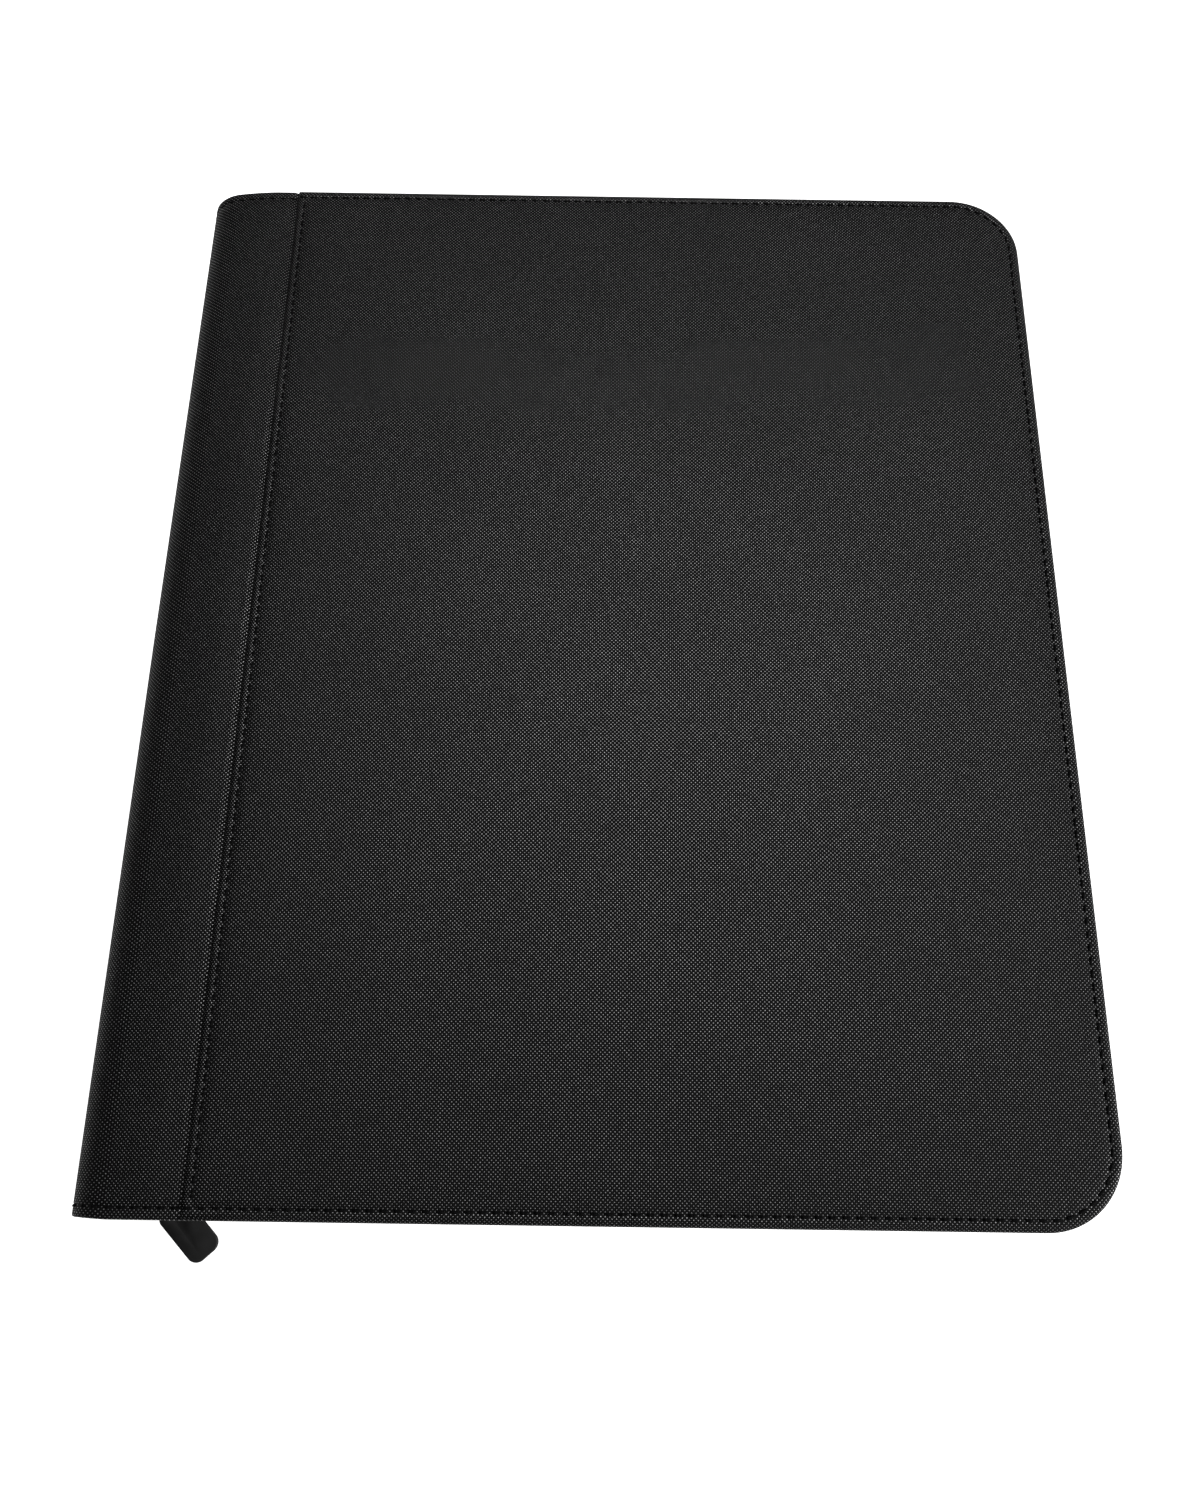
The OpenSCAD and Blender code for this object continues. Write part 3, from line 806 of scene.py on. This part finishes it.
def tape_profile():
    """Down from under the hem, leaning in to the chain, then upright beside it."""
    foot_z = tape_end_z - 0.8 * MM
    lean_w = chain_inset - tape_foot
    lean = [(tape_foot + lean_w * k / 5, foot_z + (tape_low_z - foot_z) * k / 5) for k in range(6)]
    rise = coil_top - tape_low_z
    upright = [(chain_inset + hair * k, tape_low_z + rise * k / 3) for k in (1, 2, 3)]
    return [(tape_foot - 0.3 * MM, tape_end_z)] + lean + upright


def woven_tape(wire):
    """Dense ribs across the tape, with two thicker cords along the edge beside the coil."""
    run, height, _ = wire.node("UVMap", {"uv_map": "cut"}, {}).split()
    ribs = (run * (2 * math.pi / (0.62 * MM))).sin() * 0.5 + 0.5
    picks = (height * (2 * math.pi / (0.8 * MM))).sin() * 0.5 + 0.5
    relief = ribs * 0.7 + ribs * picks * 0.3
    return {
        "Base Color": relief.tint((0.0025, 0.0025, 0.0027, 1), (0.026, 0.026, 0.027, 1)),
        "Roughness": 0.85 - relief * 0.15,
        "Specular IOR Level": 0.2,
        "Normal": relief.bump(0.15 * MM, 0.8),
    }


tape_cloth = material("woven zip tape", woven_tape)
front_tape = edge_wall("front_zip_tape_woven", tape_profile(), tape_t, tape_start_x)
lay_weave(front_tape, lambda x, y, z: (edge_run(x, y, chain_inset), z))
rear_tape = mirror_of(front_tape, "rear_zip_tape_woven")

# The front tape is cut away where the parked slider sits
notch_x = seam_x - 5 * MM
notch_z = 24.4 * MM
bpy.ops.object.select_all(action="DESELECT")
bpy.context.view_layer.objects.active = front_tape
bpy.ops.object.mode_set(mode="EDIT")
for co, no in (((notch_x, 0, 0), (1, 0, 0)), ((0, 0, notch_z), (0, 0, 1))):
    bpy.ops.mesh.select_all(action="SELECT")
    bpy.ops.mesh.bisect(plane_co=co, plane_no=no)
pick("FACE", lambda p: p.x < notch_x and p.y < 0 and p.z < notch_z)
bpy.ops.mesh.delete(type="FACE")
bpy.ops.object.mode_set(mode="OBJECT")
for tape, side in ((front_tape, "front"), (rear_tape, "rear")):
    tape.data.materials.append(tape_cloth)
    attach(tape, side + "_cover")
    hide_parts(side + "_zip_tape")

# ------------------------------------------------------------------ zip coils
# Each side of the chain is one nylon filament wound into a flattened coil round a filler cord and
# stitched to the tape's edge. The zip is open here, so the two coils face each other with a gap.

coil_pitch = 1.3 * MM
coil_thick = 2.2 * MM
filament_r = 0.38 * MM
coil_mid_z = coil_top - coil_w / 2
coil_start_x = tape_start_x + 1.6 * MM
parked_end_x = coil_start_x + 9.3 * MM  # the front chain's first stretch stays with the start stop
cord_w = 1.2 * MM
cord_top = coil_top - 0.7 * MM


def build_turn():
    """One turn of the coil, flattened and leaning along the chain like a helix's."""
    bpy.ops.object.select_all(action="DESELECT")
    bpy.ops.mesh.primitive_torus_add(
        major_segments=12, minor_segments=5, major_radius=coil_w / 2 - filament_r,
        minor_radius=filament_r, rotation=(0, math.pi / 2, math.radians(14)))
    turn = bpy.context.object
    turn.name = "coil_turn"
    bpy.ops.object.transform_apply(location=True, rotation=True, scale=True)
    bpy.ops.object.mode_set(mode="EDIT")
    bpy.ops.mesh.select_all(action="SELECT")
    bpy.ops.transform.resize(value=(1, coil_thick / coil_w, 1))
    # The head of each turn bulges where it would hook into the other coil
    pick("VERT", lambda p: p.z < -coil_w * 0.32)
    bpy.ops.transform.resize(value=(1.5, 1.0, 1.0))
    bpy.ops.object.mode_set(mode="OBJECT")
    return turn


def black_nylon(wire):
    """Glossy moulded nylon with a faint draw line."""
    place = object_place(wire)
    haze = place.noise(900.0, 3.0)
    return {
        "Base Color": haze.tint((0.004, 0.004, 0.0042, 1), (0.013, 0.013, 0.0135, 1)),
        "Roughness": 0.28 + haze * 0.2,
        "Specular IOR Level": 0.5,
        "Normal": haze.bump(0.02 * MM, 0.4),
    }


nylon = material("black nylon", black_nylon)
turn = build_turn()
walk = list(edge_walk(chain_inset, coil_start_x, coil_pitch, coil_mid_z))
open_turns = [p for p in walk if p.translation.y > 0 or p.translation.x > notch_x]
parked_turns = [p for p in walk if p.translation.y < 0 and p.translation.x < parked_end_x]
front_coil = repeat("front_zip_coil_turns", turn, open_turns)
parked_coil = repeat("front_zip_start_turns", turn, parked_turns)
whole_coil = repeat("whole_coil", turn, walk)
rear_coil = mirror_of(whole_coil, "rear_zip_coil_turns")
bpy.data.objects.remove(whole_coil)
bpy.data.objects.remove(turn)
for coil, node, cover in (
        (front_coil, "front_zip_coil", "front_cover"),
        (parked_coil, "front_zip_start", "rear_cover"),
        (rear_coil, "rear_zip_coil", "rear_cover")):
    coil.data.materials.append(nylon)
    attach(coil, cover)
    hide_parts(node)

# The filler cords, wound in by the coils
cord_profile = [(chain_inset + hair * k, cord_top - cord_w * k / 2) for k in range(3)]
front_filler = edge_wall("front_zip_filler_cord", cord_profile, cord_w, coil_start_x)
rear_filler = mirror_of(front_filler, "rear_zip_filler_cord")
bpy.ops.object.select_all(action="DESELECT")
bpy.context.view_layer.objects.active = front_filler
bpy.ops.object.mode_set(mode="EDIT")
bpy.ops.mesh.select_all(action="SELECT")
bpy.ops.mesh.bisect(plane_co=(notch_x, 0, 0), plane_no=(1, 0, 0))
pick("FACE", lambda p: p.x < notch_x and p.y < 0)
bpy.ops.mesh.delete(type="FACE")
bpy.ops.object.mode_set(mode="OBJECT")
for filler, cover in ((front_filler, "front_cover"), (rear_filler, "rear_cover")):
    filler.data.materials.append(thread)
    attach(filler, cover)

# ------------------------------------------------------------------ stops, slider and link
# Zinc castings in black lacquer: the stops crimped over the ends of the chain, the two-plate
# slider with the bridge on its outer plate, and the wire link that hangs the pull on it.


def rounded_copy(node, name, width):
    """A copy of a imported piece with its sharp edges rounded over."""
    piece = bpy.data.objects.new(name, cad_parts[node].data.copy())
    bpy.context.collection.objects.link(piece)
    bpy.ops.object.select_all(action="DESELECT")
    bpy.context.view_layer.objects.active = piece
    piece.select_set(True)
    bpy.ops.object.mode_set(mode="EDIT")
    bpy.ops.mesh.select_all(action="SELECT")
    bpy.ops.mesh.remove_doubles(threshold=0.002 * MM)
    bpy.ops.mesh.dissolve_limited(angle_limit=math.radians(1))
    bpy.ops.mesh.normals_make_consistent(inside=False)
    bpy.ops.object.mode_set(mode="OBJECT")
    edge = piece.modifiers.new("rounded edge", "BEVEL")
    edge.width = width
    edge.segments = 3
    edge.limit_method = "ANGLE"
    edge.angle_limit = math.radians(40)
    bpy.ops.object.modifier_apply(modifier=edge.name)
    bpy.ops.object.shade_smooth_by_angle(angle=math.radians(40))
    piece.data.materials.clear()
    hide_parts(node)
    return piece


def black_lacquer(wire):
    """Baked lacquer on cast zinc, thin and rubbed to bare metal in small specks."""
    place = object_place(wire)
    orange_peel = place.noise(2500.0, 2.0)
    rubbed = place.noise(700.0, 5.0).between(0.68, 0.74)
    return {
        "Base Color": rubbed.tint((0.009, 0.009, 0.0095, 1), (0.32, 0.31, 0.30, 1)),
        "Metallic": rubbed * 0.9,
        "Roughness": 0.36 + orange_peel * 0.14,
        "Specular IOR Level": 0.5,
        "Normal": orange_peel.bump(0.03 * MM, 0.5),
    }


lacquer = material("black lacquer", black_lacquer)
for node, name, width, body in (
        ("zip_start_stop", "start_stop_casting", 0.4 * MM, "rear_cover"),
        ("rear_end_stop", "rear_end_stop_casting", 0.4 * MM, "rear_cover"),
        ("front_end_stop", "front_end_stop_casting", 0.4 * MM, "front_cover"),
        ("slider_body", "slider_casting", 0.3 * MM, "zip_slider"),
        ("slider_bail", "slider_bridge", 0.35 * MM, "zip_slider")):
    casting = rounded_copy(node, name, width)
    casting.data.materials.append(lacquer)
    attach(casting, body)

# ------------------------------------------------------------------ pull tab
# A flat tab of smooth black rubber with rounded corners. Its hole closes in on the link's wire.

hole = Vector((-119.28 * MM, -166.82 * MM))
hole_reach = 2.6 * MM  # takes in the whole rim of the hole
hole_shrink = 0.6


def black_rubber(wire):
    """Smooth rubber with a bloom of fine specks and a softer shine than lacquer."""
    place = object_place(wire)
    speck = place.noise(4200.0, 2.0)
    bloom = place.noise(260.0, 3.0).between(0.35, 0.7)
    shade = bloom * 0.6 + speck * 0.4
    return {
        "Base Color": shade.tint((0.005, 0.005, 0.005, 1), (0.0125, 0.0125, 0.0128, 1)),
        "Roughness": 0.58 + speck * 0.15,
        "Specular IOR Level": 0.3,
        "Normal": speck.bump(0.02 * MM, 0.4),
    }


tab = rounded_copy("pull_tab", "pull_tab_rubber", 0.5 * MM)
for v in tab.data.vertices:
    arm = v.co.xy - hole
    if arm.length < hole_reach:
        v.co.x, v.co.y = hole + arm * hole_shrink
tab.data.materials.append(material("black rubber", black_rubber))
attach(tab, "pull")

# ------------------------------------------------------------------ leaves
# Twenty leaves hang by their flexible margins from the strip welded inside the spine. A leaf is a
# black sheet with nine clear film pockets welded to each face. A pocket is open on its side by the
# spine, where the film stands off the sheet.

strip_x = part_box("lower_leaf_hinges")[0].x
pocket_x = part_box("leaf_01")[0].x
leaf_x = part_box("leaf_01")[1].x
leaf_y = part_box("leaf_01")[1].y
core_t = 0.3 * MM
pocket_w = 73 * MM
pocket_h = 96 * MM
weld_w = 1.5 * MM
border_w = 3 * MM
film_t = 0.1 * MM
film_bow = 0.26 * MM
margin_step = 1.25 * MM  # from one cut across the margin to the next


def build_film():
    """The film of one pocket: welded down on three sides and bowed up along the open one."""
    bpy.ops.object.select_all(action="DESELECT")
    bpy.ops.mesh.primitive_grid_add(x_subdivisions=10, y_subdivisions=10, size=1)
    film = bpy.context.object
    film.name = "pocket_film"
    for v in film.data.vertices:
        across = v.co.x + 0.5
        along = min(1.0, abs(2 * v.co.y))
        v.co.z = (1 - along * along) ** 0.7 * (1 - across ** 3) * film_bow
    film.scale = (pocket_w - weld_w, pocket_h - weld_w, 1)
    bpy.ops.object.transform_apply(location=False, rotation=False, scale=True)
    solid = film.modifiers.new("thickness", "SOLIDIFY")
    solid.thickness = film_t
    solid.offset = 1.0
    bpy.ops.object.modifier_apply(modifier=solid.name)
    return film


def pocket_places():
    """The middle of every pocket on both faces of a leaf, with the leaf's middle at height 0."""
    for column in range(3):
        for row in (-1, 0, 1):
            place = Vector((pocket_x + border_w + (column + 0.5) * pocket_w, row * pocket_h, 0))
            for face in (0, math.pi):
                lift = Matrix.Translation((0, 0, core_t / 2))
                yield Matrix.Translation(place) @ Matrix.Rotation(face, 4, "X") @ lift


def build_leaf():
    """One leaf with its middle at height 0: the margin and sheet, and the films on both faces."""
    film = build_film()
    films = repeat("pocket_films", film, pocket_places())
    bpy.data.objects.remove(film)
    bpy.ops.object.select_all(action="DESELECT")
    bpy.ops.mesh.primitive_plane_add(size=1, location=((strip_x + leaf_x) / 2, 0, 0))
    leaf = bpy.context.object
    leaf.name = "card_leaf"
    leaf.scale = (leaf_x - strip_x, 2 * leaf_y, 1)
    bpy.ops.object.transform_apply(location=True, rotation=True, scale=True)
    bpy.ops.object.mode_set(mode="EDIT")
    pick("VERT", lambda p: p.x > 0)
    bpy.ops.mesh.bevel(affect="VERTICES", offset=4 * MM, segments=5)
    score("X", strip_x + margin_step, pocket_x, margin_step)
    bpy.ops.object.mode_set(mode="OBJECT")
    solid = leaf.modifiers.new("thickness", "SOLIDIFY")
    solid.thickness = core_t
    solid.offset = 0.0
    bpy.ops.object.modifier_apply(modifier=solid.name)
    films.select_set(True)
    bpy.ops.object.join()
    bpy.ops.object.shade_smooth_by_angle(angle=math.radians(40))
    lay_weave(leaf, lambda x, y, z: (x - pocket_x, y))
    return leaf


def pocket_sheet(wire):
    """Finely embossed black sheet, glossy and a little rippled where clear film lies over it."""
    cut = wire.node("UVMap", {"uv_map": "cut"}, {})
    x, y, _ = cut.split()
    weld_edge = (weld_w * 0.4, weld_w * 0.5)
    off_weld_x = (x - border_w).math("PINGPONG", pocket_w / 2).between(*weld_edge)
    off_weld_y = (y + 1.5 * pocket_h).math("PINGPONG", pocket_h / 2).between(*weld_edge)
    film = off_weld_x * off_weld_y * x.between(border_w, border_w + 0.1 * MM)
    ridges = 2 * math.pi / (0.9 * MM)
    emboss = ((x + y) * ridges).sin() * ((x - y) * ridges).sin()
    ripple = cut.noise(45.0, 2.0)
    grain = (1.0 - film) * emboss * 0.3 + film * ripple
    return {
        "Base Color": film.tint((0.0075, 0.0075, 0.008, 1), (0.013, 0.0135, 0.0145, 1)),
        "Roughness": 0.5 - film * 0.25,
        "Specular IOR Level": 0.4,
        "Coat Weight": film * 0.9,
        "Coat Roughness": 0.06,
        "Normal": grain.bump(0.3 * MM, 0.35),
    }


sheet = material("pocket sheet", pocket_sheet)
leaf = build_leaf()
leaf.data.materials.append(sheet)
for k in range(1, 21):
    body = f"leaf_{k:02d}"
    low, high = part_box(body)
    level = (low.z + high.z) / 2
    piece = leaf.copy()
    piece.data = leaf.data.copy()
    piece.name = f"card_leaf_{k:02d}"
    bpy.context.collection.objects.link(piece)
    piece.data.transform(Matrix.Translation((0, 0, level)))
    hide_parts(body, "lower_leaf_hinges" if k <= 10 else "upper_leaf_hinges")
    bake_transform(piece)
bpy.data.objects.remove(leaf)

# ------------------------------------------------------------------ boards and linings
# Grey board stiffens the covers and the spine. A cover's board is skived thin by the spine, so that
# the cloth can slope down over it, and foam on the spine's board fills the bulge of the cloth. The
# strip, the linings, the spine's board and the pull's link keep their shapes and take a finish.

foam_step = 20 * MM
foam_rows = 8
foam_start_t = 0.1 * MM  # before its outer face is drawn out to the cloth


def grey_board(wire):
    """Pressed grey pulp board with darker fibres."""
    place = object_place(wire)
    fibre = place.noise(1500.0, 4.0)
    return {
        "Base Color": fibre.tint((0.10, 0.095, 0.088, 1), (0.30, 0.29, 0.27, 1)),
        "Roughness": 0.95,
        "Normal": fibre.bump(0.05 * MM, 0.5),
    }


board_grey = material("grey board", grey_board)
board_low, board_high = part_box("front_cover_board")
front_board = rounded_copy("front_cover_board", "front_board_skived", 0.1 * MM)
bpy.ops.object.mode_set(mode="EDIT")
score("X", board_low.x + MM, board_low.x + 10 * MM, MM)
bpy.ops.object.mode_set(mode="OBJECT")
for v in front_board.data.vertices:
    drop = max(0.0, roll_z - sagged(v.co.x, v.co.y, roll_z)[2])
    v.co.z -= drop * (v.co.z - board_low.z) / (board_high.z - board_low.z)
rear_board = mirror_of(front_board, "rear_board_skived")
for board, cover in ((front_board, "front_cover"), (rear_board, "rear_cover")):
    board.data.materials.append(board_grey)
    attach(board, cover)
    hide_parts(cover + "_board")

# The foam's outer face follows the back of the cloth
spine_low, spine_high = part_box("spine_board")
bpy.ops.object.select_all(action="DESELECT")
bpy.ops.mesh.primitive_cube_add(size=1, location=(spine_low.x, 0, mid_z))
pad = bpy.context.object
pad.name = "spine_foam"
pad.scale = (foam_start_t, 2 * spine_high.y, spine_high.z - spine_low.z)
bpy.ops.object.transform_apply(location=True, rotation=True, scale=True)
bpy.ops.object.mode_set(mode="EDIT")
score("Y", -spine_high.y + foam_step, spine_high.y - foam_step, foam_step)
for k in range(1, foam_rows):
    level = spine_low.z + (spine_high.z - spine_low.z) * k / foam_rows
    bpy.ops.mesh.select_all(action="SELECT")
    bpy.ops.mesh.bisect(plane_co=(0, 0, level), plane_no=(0, 0, 1))
bpy.ops.object.mode_set(mode="OBJECT")
cloth_back = spine_x + cloth_t + glue_t
for v in pad.data.vertices:
    if v.co.x < spine_low.x:
        v.co.x = sagged(cloth_back, v.co.y, max(v.co.z, top_z - v.co.z))[0]
bpy.ops.object.shade_smooth_by_angle(angle=math.radians(40))
pad.data.materials.append(lining)
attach(pad, "spine")

for node, finish in (
        ("spine_board", board_grey), ("leaf_strip", lining), ("spine_lining", lining),
        ("front_cover_lining", lining), ("rear_cover_lining", lining), ("pull_link", lacquer)):
    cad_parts[node].material_slots[0].material = finish
